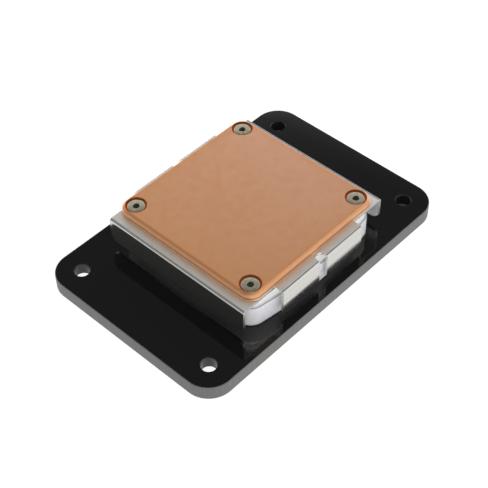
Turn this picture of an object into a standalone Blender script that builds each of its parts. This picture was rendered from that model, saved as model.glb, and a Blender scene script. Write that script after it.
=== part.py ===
"""CPU water block, lying on its mounting plate with the copper cold plate on top.

Metres, +Z up. The origin is the middle of the mounting plate's underside.
X runs along the plate's long side, Y along its short side.
"""
import math

import bmesh
import bpy
from mathutils import Vector

MM = 0.001
SEAT_GAP = 0.3 * MM            # left between pieces that touch
ROUND_STEPS = 28               # sides of a drilled hole
CORNER_STEPS = 6               # chords in a rounded corner
OVERCUT = 1 * MM               # how far a cutter runs past what it cuts
SINK = 0.5 * MM                # how far a joined shape starts inside the one below

# Mounting plate
PLATE_THICKNESS = 5.25 * MM
PLATE_CHAMFER = 0.25 * MM
MOUNT_SPACING_X = 90 * MM
MOUNT_SPACING_Y = 54 * MM
MOUNT_HOLE = 4.9 * MM
MOUNT_LEAD = 1.25 * MM         # chamfer of a mounting hole on the plate's underside
MOUNT_EDGE = 8.35 * MM         # from a mounting hole's centre to the plate's edge
PLATE_CORNER = MOUNT_EDGE      # round the mounting hole
PLATE_LENGTH = MOUNT_SPACING_X + 2 * MOUNT_EDGE
PLATE_WIDTH = MOUNT_SPACING_Y + 2 * MOUNT_EDGE

# Ports: threaded through the plate, plain bores in the body behind it
PORT_SPACING = 26 * MM
PORT_THREAD_BORE = 11.8 * MM
PORT_LEAD_IN = 0.6 * MM
PORT_BORE = 9 * MM
PORT_SEAL_CORD = 1.8 * MM
PORT_SEAL_LAND = 1.2 * MM      # from the thread bore to the seal's groove
PORT_SEAL_RADIUS = PORT_THREAD_BORE / 2 + PORT_SEAL_LAND + SEAT_GAP + PORT_SEAL_CORD / 2

# Chamber in the body, and the seal round it
CHAMBER_MARGIN = 1.5 * MM      # from a port bore to the chamber's wall
CHAMBER_CORNER = 4 * MM
CHAMBER_WIDTH = PORT_SPACING + PORT_BORE + 2 * CHAMBER_MARGIN
SEAL_CORD = 1.8 * MM
SEAL_LAND = 1.3 * MM           # from the chamber's wall to the groove
SEAL_OUTER_LAND = 0.8 * MM     # from the groove to the boss's side
SEAL_GROOVE = SEAL_CORD + 2 * SEAT_GAP
BOSS_MARGIN = SEAL_LAND + SEAL_GROOVE + SEAL_OUTER_LAND
BOSS_WIDTH = CHAMBER_WIDTH + 2 * BOSS_MARGIN
BOSS_CORNER = CHAMBER_CORNER + BOSS_MARGIN

# Screws through the cold plate, and the threaded inserts that take them
SCREW_OUTSET = 0.25 * MM       # from the boss's side out to the line of the screws
SCREW_SPACING = BOSS_WIDTH + 2 * SCREW_OUTSET
SCREW_DIAMETER = 3 * MM
SCREW_CLEARANCE = SCREW_DIAMETER + 2 * SEAT_GAP
SCREW_HEAD = 5.7 * MM
SCREW_HEAD_HEIGHT = 1.5 * MM
SCREW_HEAD_CHAMFER = 0.25 * MM
SCREW_SOCKET = 2 * MM          # across the flats
SCREW_SOCKET_DEPTH = 0.9 * MM
SCREW_TIP_CHAMFER = 0.45 * MM
SCREW_TIP_RISE = 1.25 * MM     # from the body's underside up to the tip
INSERT_WALL = 0.5 * MM
INSERT_LENGTH = 4.4 * MM
INSERT_LIP = 0.35 * MM
INSERT_LIP_HEIGHT = 0.8 * MM
INSERT_STEPS = 20

# Copper cold plate
HEAD_RECESS = 0.35 * MM        # from the plate's face down to a screw's head
HEAD_CLEARANCE = 0.6 * MM      # round a screw's head
COUNTERBORE = SCREW_HEAD + 2 * HEAD_CLEARANCE
SCREW_EDGE_METAL = 0.8 * MM    # from a counterbore to the plate's side
SCREW_EDGE = COUNTERBORE / 2 + SCREW_EDGE_METAL
METAL_UNDER_HEAD = 0.75 * MM
COPPER_WIDTH = SCREW_SPACING + 2 * SCREW_EDGE
COPPER_CORNER = SCREW_EDGE     # round the screw's centre
COPPER_THICKNESS = METAL_UNDER_HEAD + SEAT_GAP + SCREW_HEAD_HEIGHT + HEAD_RECESS
COPPER_EDGE_ROUND = 0.8 * MM
FIN_MARGIN = 4 * MM            # from the chamber's wall to the fins
FIN_FIELD = CHAMBER_WIDTH - 2 * FIN_MARGIN
FIN_PITCH = 0.8 * MM
FIN_THICKNESS = 0.4 * MM
FIN_HEIGHT = 2 * MM
FIN_ROOT = 0.4 * MM            # how deep a fin is rooted in the plate

# Clear body
BODY_MARGIN = 1.8 * MM         # from the cold plate's side out to the middle of the body's
BODY_WIDTH = COPPER_WIDTH + 2 * BODY_MARGIN
BODY_SIDE_BOW = 2.6 * MM       # how far each side swells in its middle
BODY_CORNER = 5 * MM
BODY_BASE_HEIGHT = 7.85 * MM
BODY_RIM_STEP = 0.4 * MM
BODY_RIM_DROP = 0.5 * MM
SHELF_RISE = 2.2 * MM          # from the base up to the shelf that carries the tray
SHELF_MARGIN = 2.55 * MM       # from a screw's centre to the shelf's side
SHELF_WIDTH = SCREW_SPACING + 2 * SHELF_MARGIN
SIDE_STEPS = 10                # chords in a bowed side

# Folded steel tray
SHEET = 0.8 * MM
TRAY_CLEARANCE = 0.7 * MM      # from the body's side to a folded wall
TRAY_WIDTH = BODY_WIDTH + 2 * (TRAY_CLEARANCE + SHEET)
TRAY_WALL_SETBACK = 3.4 * MM   # from the tray's corner to a wall's end
TRAY_FLAP_SPAN = 35.8 * MM
TRAY_BEND_RADIUS = 1 * MM      # outside
TRAY_FOOT_GAP = 2.65 * MM      # from the plate up to the folded edges
TRAY_FOOT_CORNER = 2.6 * MM
TRAY_RELIEF_WIDTH = 3.4 * MM
TRAY_RELIEF_REACH = 1.8 * MM   # how far the slot runs into the flat top
BEND_STEPS = 5

# Countersunk screws from under the plate
PLATE_SCREW_INSET_X = 2.75 * MM    # from a cold plate screw's line
PLATE_SCREW_INSET_Y = 6.75 * MM
PLATE_SCREW_HEAD = 5.6 * MM
PLATE_SCREW_RECESS = 0.3 * MM
PLATE_SCREW_GRIP = 3.5 * MM    # how far it reaches into the body
PLATE_SCREW_SOCKET = 2 * MM
PLATE_SCREW_SOCKET_DEPTH = 0.9 * MM

# Flow insert and jet plate
JET_PLATE_THICKNESS = 0.5 * MM
JET_PLATE_CORNER = 1 * MM
JET_SLOT_WIDTH = 1.2 * MM
JET_SLOT_END = 3 * MM          # from the slot's end to the edge of the jet plate
JET_SLOT_LENGTH = FIN_FIELD - 2 * JET_SLOT_END
INSERT_HEIGHT = 1.9 * MM
INSERT_OUTLET_GAP = 1.25 * MM  # from the insert's end to the outlet bore
DUCT_DEPTH = 1.2 * MM
DUCT_CORNER = 1 * MM
INLET_DUCT_WIDTH = 8 * MM
JET_DUCT_WIDTH = 4 * MM
JET_DUCT_END = 0.5 * MM        # past the slot's end

# Heights that follow from the stack
PLATE_TOP = PLATE_THICKNESS
BODY_BOTTOM = PLATE_TOP + SEAT_GAP
BASE_TOP = BODY_BOTTOM + BODY_BASE_HEIGHT
SHELF_TOP = BASE_TOP + SHELF_RISE
TRAY_TOP = SHELF_TOP + SEAT_GAP + SHEET
COPPER_BOTTOM = TRAY_TOP + SEAT_GAP
COPPER_TOP = COPPER_BOTTOM + COPPER_THICKNESS
BOSS_TOP = COPPER_BOTTOM - SEAT_GAP
HEAD_TOP = COPPER_TOP - HEAD_RECESS
HEAD_BOTTOM = HEAD_TOP - SCREW_HEAD_HEIGHT
JET_PLATE_TOP = COPPER_BOTTOM - FIN_HEIGHT - SEAT_GAP
JET_PLATE_BOTTOM = JET_PLATE_TOP - JET_PLATE_THICKNESS
INSERT_TOP = JET_PLATE_BOTTOM - SEAT_GAP
INSERT_BOTTOM = INSERT_TOP - INSERT_HEIGHT
CHAMBER_FLOOR = INSERT_BOTTOM - SEAT_GAP

for old in list(bpy.data.objects):
    bpy.data.objects.remove(old, do_unlink=True)

parts = bpy.data.collections.new("cpu_water_block")
cutters = bpy.data.collections.new("cutters")
bpy.context.scene.collection.children.link(parts)
bpy.context.scene.collection.children.link(cutters)


def make_material(name, color, roughness, metallic):
    made = bpy.data.materials.new(name)
    made.use_nodes = True
    shader = made.node_tree.nodes["Principled BSDF"]
    shader.inputs["Base Color"].default_value = (*color, 1)
    shader.inputs["Roughness"].default_value = roughness
    shader.inputs["Metallic"].default_value = metallic
    return made


def corners(half_x, half_y):
    """The four points of a rectangle, front left first, counterclockwise."""
    return [(-half_x, -half_y), (half_x, -half_y), (half_x, half_y), (-half_x, half_y)]


def circle(x, y, radius, steps=ROUND_STEPS):
    turn = 2 * math.pi / steps
    return [(x + radius * math.cos(k * turn), y + radius * math.sin(k * turn)) for k in range(steps)]


def arc(x, y, radius, start, end, steps=CORNER_STEPS):
    """Points of an arc, with start and end in degrees."""
    angles = [math.radians(start + (end - start) * k / steps) for k in range(steps + 1)]
    return [(x + radius * math.cos(a), y + radius * math.sin(a)) for a in angles]


def rounded_rectangle(length, width, radius, x=0.0):
    reach_x = length / 2 - radius
    reach_y = width / 2 - radius
    points = []
    for (cx, cy), start in zip(corners(reach_x, reach_y), (180, 270, 0, 90)):
        points += arc(x + cx, cy, radius, start, start + 90)
    return points


def bowed_square(width, bow, radius):
    """A square whose sides are arcs that swell by bow in their middle, with round corners."""
    half = width / 2
    side_radius = ((half - bow) ** 2 + bow ** 2) / (2 * bow)
    back = side_radius - half
    # the corner's centre lies on the diagonal, side_radius less radius away from each side's centre
    corner = (math.sqrt(2 * (side_radius - radius) ** 2 - back ** 2) - back) / 2
    lean = math.degrees(math.atan2(corner, corner + back))
    points = []
    for quarter in range(4):
        turn = math.radians(90 * quarter)
        side = arc(0, back, side_radius, 270 - lean, 270 + lean, SIDE_STEPS)
        corner_arc = arc(corner, -corner, radius, 270 + lean, 360 - lean, CORNER_STEPS)[1:-1]
        cos, sin = math.cos(turn), math.sin(turn)
        points += [(x * cos - y * sin, x * sin + y * cos) for x, y in side + corner_arc]
    return points


def slot_outline(length, width):
    """A slot along Y with half-round ends."""
    reach = (length - width) / 2
    return arc(0, reach, width / 2, 0, 180) + arc(0, -reach, width / 2, 180, 360)


def keep(name, mesh, material=None):
    """Put a mesh in the scene, as a part with a material or else as a cutter."""
    made = bpy.data.objects.new(name, mesh)
    if material:
        parts.objects.link(made)
        mesh.materials.clear()
        mesh.materials.append(material)
        mesh.shade_smooth()
        mesh.set_sharp_from_angle(angle=math.radians(35))
    else:
        cutters.objects.link(made)
        made.display_type = "WIRE"
        made.hide_render = True
    return made


def add_loop(curve, outline):
    spline = curve.splines.new("POLY")
    spline.points.add(len(outline) - 1)
    for point, (x, y) in zip(spline.points, outline):
        point.co = (x, y, 0, 1)
    spline.use_cyclic_u = True


def flat_mesh(name, outlines, bottom, top):
    """Mesh of a flat plate: the first outline less the others, or a bare sheet if bottom equals top."""
    curve = bpy.data.curves.new(name, "CURVE")
    curve.dimensions = "2D"
    curve.fill_mode = "BOTH"
    curve.extrude = (top - bottom) / 2
    for outline in outlines:
        add_loop(curve, outline)
    holder = bpy.data.objects.new(name, curve)
    holder.location.z = (top + bottom) / 2
    cutters.objects.link(holder)
    bpy.context.view_layer.update()
    seen = holder.evaluated_get(bpy.context.evaluated_depsgraph_get())
    mesh = bpy.data.meshes.new_from_object(seen)
    mesh.transform(holder.matrix_world)
    bpy.data.objects.remove(holder, do_unlink=True)
    bpy.data.curves.remove(curve)
    shape = bmesh.new()
    shape.from_mesh(mesh)
    bmesh.ops.remove_doubles(shape, verts=shape.verts, dist=0.001 * MM)
    # three corners in one line can leave a triangle without area, which joins its neighbour
    slivers = [face for face in shape.faces if face.calc_area() < 0.001 * MM * MM]
    longest = dict.fromkeys(max(face.edges, key=lambda edge: edge.calc_length()) for face in slivers)
    bmesh.ops.dissolve_edges(shape, edges=list(longest))
    bmesh.ops.dissolve_limit(shape, angle_limit=math.radians(0.5), verts=shape.verts, edges=shape.edges)
    shape.to_mesh(mesh)
    shape.free()
    return mesh


def flat_piece(name, outlines, bottom, top, material=None):
    return keep(name, flat_mesh(name, outlines, bottom, top), material)


def drill(name, places, diameter, bottom, top, steps=ROUND_STEPS):
    """Upright rods, one at each place, to cut with."""
    shape = bmesh.new()
    for x, y in places:
        made = bmesh.ops.create_cone(
            shape, cap_ends=True, segments=steps, radius1=diameter / 2, radius2=diameter / 2,
            depth=top - bottom)
        bmesh.ops.translate(shape, verts=made["verts"], vec=(x, y, (bottom + top) / 2))
    mesh = bpy.data.meshes.new(name)
    shape.to_mesh(mesh)
    shape.free()
    return keep(name, mesh)


def combine(target, other, operation="DIFFERENCE"):
    change = target.modifiers.new(other.name, "BOOLEAN")
    change.operation = operation
    change.solver = "EXACT"
    change.object = other


def bevel_edges(mesh, height, width, steps):
    """Round the outline edges of a plate that lie at one height."""
    shape = bmesh.new()
    shape.from_mesh(mesh)
    chosen = []
    for edge in shape.edges:
        level = all(abs(v.co.z - height) < 0.01 * MM for v in edge.verts)
        if level and len(edge.link_faces) == 2 and edge.calc_face_angle() > math.radians(60):
            chosen.append(edge)
    bmesh.ops.bevel(shape, geom=chosen, offset=width, segments=steps, profile=0.5, affect="EDGES")
    shape.to_mesh(mesh)
    shape.free()


def turned(name, profile, x, y, material, steps=24, hollow=False):
    """A turned piece: a profile in (radius, height), down its outer side, carried round its axis."""
    shape = bmesh.new()
    points = [shape.verts.new((radius, 0, height)) for radius, height in profile]
    for first, second in zip(points, points[1:]):
        shape.edges.new((first, second))
    if hollow:
        shape.edges.new((points[-1], points[0]))
    mesh = bpy.data.meshes.new(name)
    shape.to_mesh(mesh)
    shape.free()
    made = keep(name, mesh, material)
    made.location = (x, y, 0)
    spin = made.modifiers.new("turn", "SCREW")
    spin.steps = steps
    spin.render_steps = steps
    spin.use_merge_vertices = True
    spin.merge_threshold = 0.001 * MM
    spin.use_smooth_shade = True
    return made


black_acrylic = make_material("black_acrylic", (0.012, 0.012, 0.013), 0.08, 0.0)
clear_acrylic = make_material("clear_acrylic", (0.72, 0.73, 0.75), 0.25, 0.0)
brushed_steel = make_material("brushed_steel", (0.58, 0.56, 0.53), 0.3, 1.0)
lapped_copper = make_material("lapped_copper", (0.78, 0.42, 0.27), 0.35, 1.0)
screw_steel = make_material("screw_steel", (0.55, 0.54, 0.52), 0.32, 1.0)
brass = make_material("brass", (0.76, 0.58, 0.3), 0.35, 1.0)
seal_rubber = make_material("seal_rubber", (0.02, 0.02, 0.02), 0.6, 0.0)
insert_plastic = make_material("insert_plastic", (0.03, 0.03, 0.03), 0.45, 0.0)

screw_places = corners(SCREW_SPACING / 2, SCREW_SPACING / 2)
plate_screw_places = corners(SCREW_SPACING / 2 - PLATE_SCREW_INSET_X, SCREW_SPACING / 2 - PLATE_SCREW_INSET_Y)
port_places = [(-PORT_SPACING / 2, 0), (PORT_SPACING / 2, 0)]
corner_names = ["front_left", "front_right", "back_right", "back_left"]
port_names = ["inlet", "outlet"]
screw_hole = SCREW_CLEARANCE / 2


def make_mounting_plate():
    outline = rounded_rectangle(PLATE_LENGTH, PLATE_WIDTH, PLATE_CORNER)
    mesh = flat_mesh("mounting_plate", [outline], 0, PLATE_THICKNESS)
    bevel_edges(mesh, 0, PLATE_CHAMFER, 1)
    bevel_edges(mesh, PLATE_THICKNESS, PLATE_CHAMFER, 1)
    plate = keep("mounting_plate", mesh, black_acrylic)
    above = PLATE_TOP + OVERCUT
    hole = MOUNT_HOLE / 2
    hole_profile = [(0, above), (hole + PLATE_CHAMFER + OVERCUT, above), (hole, PLATE_TOP - PLATE_CHAMFER),
                    (hole, MOUNT_LEAD), (hole + MOUNT_LEAD + OVERCUT, -OVERCUT), (0, -OVERCUT)]
    for (x, y), corner in zip(corners(MOUNT_SPACING_X / 2, MOUNT_SPACING_Y / 2), corner_names):
        combine(plate, turned("mount_hole_" + corner, hole_profile, x, y, None, ROUND_STEPS))
    bore = PORT_THREAD_BORE / 2
    port_profile = [(0, above), (bore, above), (bore, PORT_LEAD_IN),
                    (bore + PORT_LEAD_IN + OVERCUT, -OVERCUT), (0, -OVERCUT)]
    for (x, y), port in zip(port_places, port_names):
        combine(plate, turned(port + "_thread_bore", port_profile, x, y, None, ROUND_STEPS))
    # the cone runs parallel to the screw head's, one seat gap away
    seat = PLATE_SCREW_HEAD / 2 + PLATE_SCREW_RECESS + SEAT_GAP * math.sqrt(2)
    screw_profile = [(0, above), (screw_hole, above), (screw_hole, seat - screw_hole),
                     (seat + OVERCUT, -OVERCUT), (0, -OVERCUT)]
    for (x, y), corner in zip(plate_screw_places, corner_names):
        combine(plate, turned("countersink_" + corner, screw_profile, x, y, None))


def make_body():
    """A bowed base with a stepped rim, a shelf under the tray and a boss up to the cold plate."""
    rim_bottom = BASE_TOP - BODY_RIM_DROP
    body = flat_piece("clear_body", [bowed_square(BODY_WIDTH, BODY_SIDE_BOW, BODY_CORNER)],
                      BODY_BOTTOM, rim_bottom, clear_acrylic)
    rim = bowed_square(BODY_WIDTH - 2 * BODY_RIM_STEP, BODY_SIDE_BOW, BODY_CORNER - BODY_RIM_STEP)
    shelf = rounded_rectangle(SHELF_WIDTH, SHELF_WIDTH, SHELF_MARGIN)
    boss = rounded_rectangle(BOSS_WIDTH, BOSS_WIDTH, BOSS_CORNER)
    for name, outline, bottom, top in (
            ("body_rim", rim, rim_bottom - SINK, BASE_TOP),
            ("body_shelf", shelf, BASE_TOP - SINK, SHELF_TOP),
            ("body_boss", boss, SHELF_TOP - SINK, BOSS_TOP)):
        combine(body, flat_piece(name, [outline], bottom, top), "UNION")
    below = BODY_BOTTOM - OVERCUT
    above = BOSS_TOP + OVERCUT
    tip = BODY_BOTTOM + PLATE_SCREW_GRIP + SEAT_GAP
    combine(body, drill("plate_screw_taps", plate_screw_places, SCREW_CLEARANCE, below, tip))
    chamber = rounded_rectangle(CHAMBER_WIDTH, CHAMBER_WIDTH, CHAMBER_CORNER)
    combine(body, flat_piece("chamber", [chamber], CHAMBER_FLOOR, above))
    combine(body, drill("port_bores", port_places, PORT_BORE, below, CHAMBER_FLOOR + OVERCUT))
    inner = CHAMBER_WIDTH + 2 * SEAL_LAND
    outer = inner + 2 * SEAL_GROOVE
    ring = [rounded_rectangle(outer, outer, CHAMBER_CORNER + SEAL_LAND + SEAL_GROOVE),
            rounded_rectangle(inner, inner, CHAMBER_CORNER + SEAL_LAND)]
    combine(body, flat_piece("seal_groove", ring, BOSS_TOP - SEAL_CORD - SEAT_GAP, above))
    reach = PORT_SEAL_CORD / 2 + SEAT_GAP
    for (x, y), port in zip(port_places, port_names):
        ring = [circle(x, y, PORT_SEAL_RADIUS + reach), circle(x, y, PORT_SEAL_RADIUS - reach)]
        top = BODY_BOTTOM + PORT_SEAL_CORD + SEAT_GAP
        combine(body, flat_piece(port + "_seal_groove", ring, below, top))
    pocket = screw_hole + INSERT_WALL + SEAT_GAP
    pocket_top = BODY_BOTTOM + INSERT_LENGTH + SEAT_GAP
    recess = pocket + INSERT_LIP
    recess_top = BODY_BOTTOM + INSERT_LIP_HEIGHT + SEAT_GAP
    seat_profile = [(0, above), (screw_hole, above), (screw_hole, pocket_top), (pocket, pocket_top),
                    (pocket, recess_top), (recess, recess_top), (recess, below), (0, below)]
    for (x, y), corner in zip(screw_places, corner_names):
        combine(body, turned("insert_seat_" + corner, seat_profile, x, y, None))


def fold(distance, flat_reach):
    """Where a point of the flat blank lies after folding: its reach outwards, and its drop."""
    side = math.copysign(1, distance)
    beyond = abs(distance) - flat_reach
    if beyond <= 0:
        return distance, 0
    angle = min(beyond / TRAY_BEND_RADIUS, math.pi / 2)
    straight = max(beyond - TRAY_BEND_RADIUS * math.pi / 2, 0)
    reach = flat_reach + TRAY_BEND_RADIUS * math.sin(angle)
    return side * reach, TRAY_BEND_RADIUS * (1 - math.cos(angle)) + straight


def make_tray():
    """A flat blank with its holes and slots, folded down on all four sides and given its thickness."""
    flat_reach = TRAY_WIDTH / 2 - TRAY_BEND_RADIUS
    wall = TRAY_TOP - PLATE_TOP - TRAY_FOOT_GAP - TRAY_BEND_RADIUS
    blank = flat_reach + TRAY_BEND_RADIUS * math.pi / 2 + wall
    end = TRAY_WIDTH / 2 - TRAY_WALL_SETBACK
    span = TRAY_FLAP_SPAN / 2
    slot = TRAY_RELIEF_WIDTH / 2
    slot_end = flat_reach - TRAY_RELIEF_REACH + slot
    foot = TRAY_FOOT_CORNER
    # one quarter of the outline, from the wall's middle on +X round to the flap's slot on +Y
    quarter = arc(blank - foot, end - foot, foot, 0, 90)
    quarter += [(span, end), (span, blank), (slot, blank)]
    quarter += arc(0, slot_end, slot, 0, -90)
    half = quarter + [(-x, y) for x, y in reversed(quarter[:-1])]
    outline = half + [(-x, -y) for x, y in half]
    holes = [circle(x, y, screw_hole) for x, y in screw_places]
    opening = BOSS_WIDTH + 2 * SEAT_GAP
    window = rounded_rectangle(opening, opening, BOSS_CORNER + SEAT_GAP)
    mesh = flat_mesh("steel_tray", [outline, window] + holes, TRAY_TOP, TRAY_TOP)
    shape = bmesh.new()
    shape.from_mesh(mesh)
    for step in range(BEND_STEPS + 1):
        at = flat_reach + TRAY_BEND_RADIUS * math.pi / 2 * step / BEND_STEPS
        for axis in (Vector((1, 0, 0)), Vector((-1, 0, 0)), Vector((0, 1, 0)), Vector((0, -1, 0))):
            bmesh.ops.bisect_plane(
                shape, geom=shape.verts[:] + shape.edges[:] + shape.faces[:], dist=0.001 * MM,
                plane_co=axis * at, plane_no=axis)
    for point in shape.verts:
        point.co.x, drop_x = fold(point.co.x, flat_reach)
        point.co.y, drop_y = fold(point.co.y, flat_reach)
        point.co.z -= drop_x + drop_y
    bmesh.ops.recalc_face_normals(shape, faces=shape.faces)
    highest = max(shape.faces, key=lambda face: face.calc_center_median().z)
    if highest.normal.z < 0:
        bmesh.ops.reverse_faces(shape, faces=shape.faces)
    shape.to_mesh(mesh)
    shape.free()
    tray = keep("steel_tray", mesh, brushed_steel)
    thick = tray.modifiers.new("sheet", "SOLIDIFY")
    thick.thickness = SHEET
    thick.offset = -1


def make_cold_plate():
    """A square plate with rounded top edges, screw seats, and the fin field on its underside."""
    outline = rounded_rectangle(COPPER_WIDTH, COPPER_WIDTH, COPPER_CORNER)
    mesh = flat_mesh("cold_plate", [outline], COPPER_BOTTOM, COPPER_TOP)
    bevel_edges(mesh, COPPER_TOP, COPPER_EDGE_ROUND, 4)
    plate = keep("cold_plate", mesh, lapped_copper)
    count = int(FIN_FIELD / FIN_PITCH)
    shape = bmesh.new()
    made = bmesh.ops.create_cube(shape, size=1)["verts"]
    bmesh.ops.scale(shape, verts=made, vec=(FIN_FIELD, FIN_THICKNESS, FIN_HEIGHT + FIN_ROOT))
    bmesh.ops.translate(shape, verts=made, vec=(
        0, -FIN_PITCH * (count - 1) / 2, COPPER_BOTTOM + (FIN_ROOT - FIN_HEIGHT) / 2))
    mesh = bpy.data.meshes.new("fin")
    shape.to_mesh(mesh)
    shape.free()
    fins = keep("fin_field", mesh)
    row = fins.modifiers.new("row", "ARRAY")
    row.count = count
    row.use_relative_offset = False
    row.use_constant_offset = True
    row.constant_offset_displace = (0, FIN_PITCH, 0)
    combine(plate, fins, "UNION")
    bore = COUNTERBORE / 2
    floor = HEAD_BOTTOM - SEAT_GAP
    above = COPPER_TOP + OVERCUT
    below = COPPER_BOTTOM - OVERCUT
    seat_profile = [(0, above), (bore, above), (bore, floor), (screw_hole, floor), (screw_hole, below),
                    (0, below)]
    for (x, y), corner in zip(screw_places, corner_names):
        combine(plate, turned("screw_seat_" + corner, seat_profile, x, y, None, ROUND_STEPS))


def hex_socket(screw, x, y, across_flats, bottom, top):
    across_corners = across_flats / math.cos(math.radians(30))
    combine(screw, drill("socket_of_" + screw.name, [(x, y)], across_corners, bottom, top, 6))


def make_cold_plate_screws():
    radius = SCREW_HEAD / 2
    shank = SCREW_DIAMETER / 2
    tip = BODY_BOTTOM + SCREW_TIP_RISE
    rim = radius - SCREW_HEAD_CHAMFER
    profile = [(0, HEAD_TOP), (rim, HEAD_TOP), (radius, HEAD_TOP - SCREW_HEAD_CHAMFER), (radius, HEAD_BOTTOM),
               (shank, HEAD_BOTTOM), (shank, tip + SCREW_TIP_CHAMFER), (shank - SCREW_TIP_CHAMFER, tip),
               (0, tip)]
    for (x, y), corner in zip(screw_places, corner_names):
        screw = turned("cold_plate_screw_" + corner, profile, x, y, screw_steel, ROUND_STEPS)
        hex_socket(screw, x, y, SCREW_SOCKET, HEAD_TOP - SCREW_SOCKET_DEPTH, HEAD_TOP + OVERCUT)


def make_threaded_inserts():
    """Lipped brass inserts, pressed in from the plate's side so that the screws pull them home."""
    outer = screw_hole + INSERT_WALL
    lip = outer + INSERT_LIP
    top = BODY_BOTTOM + INSERT_LENGTH
    lip_top = BODY_BOTTOM + INSERT_LIP_HEIGHT
    profile = [(screw_hole, top), (outer, top), (outer, lip_top), (lip, lip_top), (lip, BODY_BOTTOM),
               (screw_hole, BODY_BOTTOM)]
    for (x, y), corner in zip(screw_places, corner_names):
        turned("threaded_insert_" + corner, profile, x, y, brass, INSERT_STEPS, True)


def make_plate_screws():
    """Countersunk screws that hold the plate to the body, sunk just below the plate's underside."""
    radius = PLATE_SCREW_HEAD / 2
    shank = SCREW_DIAMETER / 2
    bottom = PLATE_SCREW_RECESS
    neck = bottom + radius - shank
    top = BODY_BOTTOM + PLATE_SCREW_GRIP
    profile = [(0, top), (shank - SCREW_TIP_CHAMFER, top), (shank, top - SCREW_TIP_CHAMFER), (shank, neck),
               (radius, bottom), (0, bottom)]
    for (x, y), corner in zip(plate_screw_places, corner_names):
        screw = turned("plate_screw_" + corner, profile, x, y, screw_steel)
        hex_socket(screw, x, y, PLATE_SCREW_SOCKET, bottom - OVERCUT, bottom + PLATE_SCREW_SOCKET_DEPTH)


def make_seals():
    """The chamber's seal follows its groove; a ring seals each port against the plate."""
    margin = SEAL_LAND + SEAT_GAP + SEAL_CORD / 2
    width = CHAMBER_WIDTH + 2 * margin
    route = rounded_rectangle(width, width, CHAMBER_CORNER + margin)
    curve = bpy.data.curves.new("main_seal", "CURVE")
    curve.dimensions = "3D"
    curve.bevel_depth = SEAL_CORD / 2
    curve.bevel_resolution = 2
    add_loop(curve, route)
    curve.materials.append(seal_rubber)
    seal = bpy.data.objects.new("main_seal", curve)
    seal.location.z = BOSS_TOP - SEAL_CORD / 2
    parts.objects.link(seal)
    for (x, y), port in zip(port_places, port_names):
        bpy.ops.mesh.primitive_torus_add(
            major_segments=ROUND_STEPS, minor_segments=8, major_radius=PORT_SEAL_RADIUS,
            minor_radius=PORT_SEAL_CORD / 2, location=(x, y, BODY_BOTTOM + PORT_SEAL_CORD / 2))
        ring = bpy.context.object
        ring.users_collection[0].objects.unlink(ring)
        parts.objects.link(ring)
        ring.name = port + "_port_seal"
        ring.data.materials.append(seal_rubber)
        ring.data.shade_smooth()


def make_flow_insert():
    """The block over the inlet: a duct underneath leads the water to the slot in its middle."""
    left = SEAT_GAP - CHAMBER_WIDTH / 2
    right = (PORT_SPACING - PORT_BORE) / 2 - INSERT_OUTLET_GAP
    corner = CHAMBER_CORNER - SEAT_GAP
    outline = rounded_rectangle(right - left, FIN_FIELD, corner, (right + left) / 2)
    block = flat_piece("flow_insert", [outline], INSERT_BOTTOM, INSERT_TOP, insert_plastic)
    below = INSERT_BOTTOM - OVERCUT
    duct_top = INSERT_BOTTOM + DUCT_DEPTH
    inlet_end = (PORT_SPACING + PORT_BORE) / 2
    inlet = rounded_rectangle(inlet_end, INLET_DUCT_WIDTH, DUCT_CORNER, -inlet_end / 2)
    spread = rounded_rectangle(JET_DUCT_WIDTH, JET_SLOT_LENGTH + 2 * JET_DUCT_END, DUCT_CORNER)
    slot = slot_outline(JET_SLOT_LENGTH, JET_SLOT_WIDTH)
    combine(block, flat_piece("inlet_duct", [inlet], below, duct_top))
    combine(block, flat_piece("spreading_duct", [spread], below, duct_top))
    combine(block, flat_piece("insert_slot", [slot], below, INSERT_TOP + OVERCUT))


def make_jet_plate():
    outline = rounded_rectangle(FIN_FIELD, FIN_FIELD, JET_PLATE_CORNER)
    slot = slot_outline(JET_SLOT_LENGTH, JET_SLOT_WIDTH)
    flat_piece("jet_plate", [outline, slot], JET_PLATE_BOTTOM, JET_PLATE_TOP, brushed_steel)


make_mounting_plate()
make_body()
make_tray()
make_cold_plate()
make_cold_plate_screws()
make_threaded_inserts()
make_plate_screws()
make_seals()
make_flow_insert()
make_jet_plate()
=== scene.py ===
import bmesh
import bpy
import numpy as np
from mathutils.geometry import delaunay_2d_cdt
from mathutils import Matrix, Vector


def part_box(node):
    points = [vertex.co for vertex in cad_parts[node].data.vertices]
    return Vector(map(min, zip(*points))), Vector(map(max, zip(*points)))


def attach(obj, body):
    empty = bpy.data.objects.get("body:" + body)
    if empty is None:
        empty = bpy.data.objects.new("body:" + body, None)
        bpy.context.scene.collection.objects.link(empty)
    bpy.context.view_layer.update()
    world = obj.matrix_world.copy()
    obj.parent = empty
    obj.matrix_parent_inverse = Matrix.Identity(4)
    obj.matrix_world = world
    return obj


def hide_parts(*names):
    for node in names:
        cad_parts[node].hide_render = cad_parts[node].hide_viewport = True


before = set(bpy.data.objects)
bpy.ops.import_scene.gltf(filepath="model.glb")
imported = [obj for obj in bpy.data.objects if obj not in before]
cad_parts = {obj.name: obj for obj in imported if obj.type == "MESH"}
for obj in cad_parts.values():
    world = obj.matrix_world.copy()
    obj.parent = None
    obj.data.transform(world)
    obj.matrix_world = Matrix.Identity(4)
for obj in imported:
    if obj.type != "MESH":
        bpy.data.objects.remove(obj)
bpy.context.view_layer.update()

mm = 0.001
seatGap = 0.3 * mm        # between pieces that touch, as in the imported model
print("frame loaded:", len(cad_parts), "nodes")


# Outlines: each is a closed run of points, counterclockwise, with the outward direction at each point

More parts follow.
